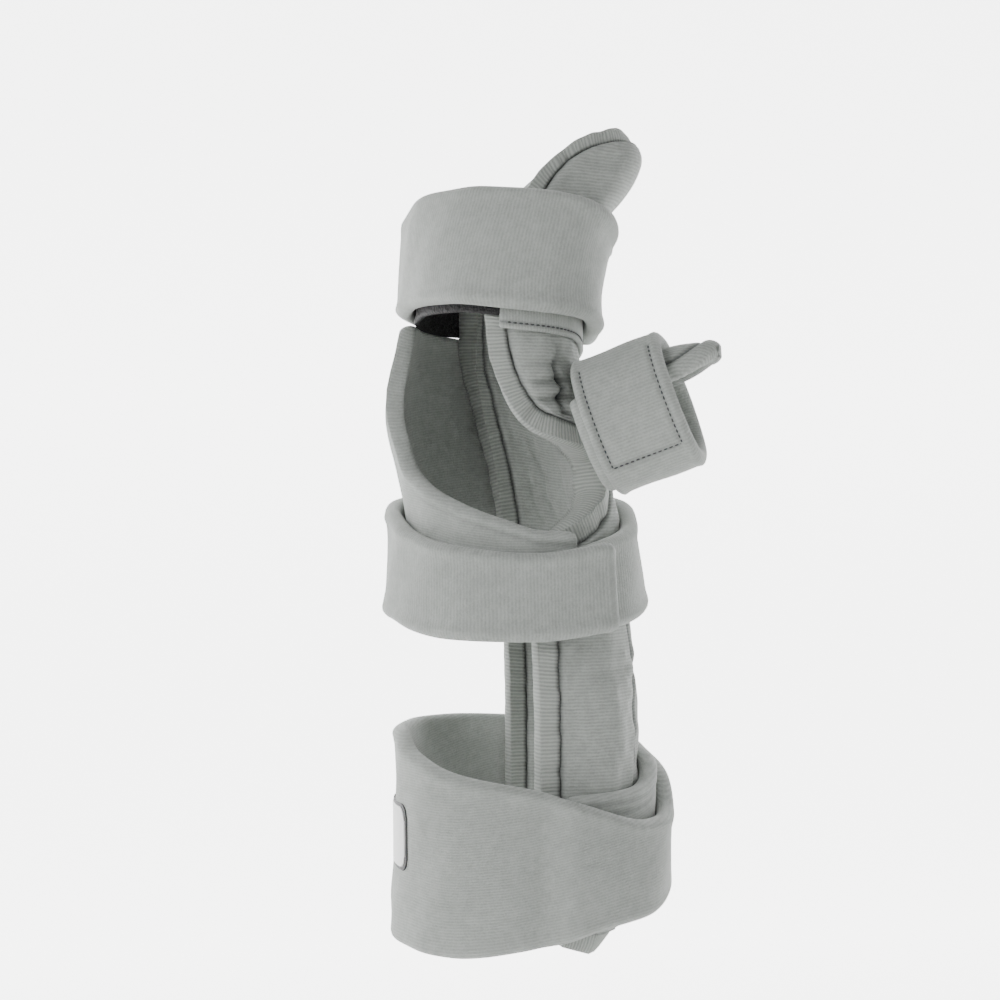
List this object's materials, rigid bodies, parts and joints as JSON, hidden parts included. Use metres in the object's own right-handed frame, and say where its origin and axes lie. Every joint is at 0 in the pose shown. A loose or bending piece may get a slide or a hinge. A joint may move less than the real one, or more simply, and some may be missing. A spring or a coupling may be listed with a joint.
{
  "type": "resting hand splint",
  "caption": "Padded left-hand resting splint: a trough for forearm, palm and fingers with a thumb trough, held by soft straps round fingers, thumb, hand, wrist and forearm.",
  "frame": {"origin": "in the wrist opening, on the line of the forearm, where the wearer's wrist holds the splint up", "axes": "+Z from the forearm towards the fingertips, +X towards the palm side where the pan lies, -Y towards the thumb"},
  "size_m": [0.1065, 0.1174, 0.2786],
  "materials": {
    "fleece": "brushed grey fleece on foam",
    "knit": "ribbed grey knit binding",
    "black": "matt black hook lining and label edge",
    "white": "smooth white label, bare"
  },
  "bodies": {
    "root": {"pan": "fleece", "pan_binding": "knit", "thumb_trough": "fleece", "finger_strap": "fleece", "finger_strap_anchor": "fleece", "finger_strap_lining": "black", "hand_strap": "fleece", "wrist_strap": "fleece", "forearm_strap": "fleece", "thumb_strap": "fleece", "label_border": "black", "label": "white"}
  },
  "joints": []
}
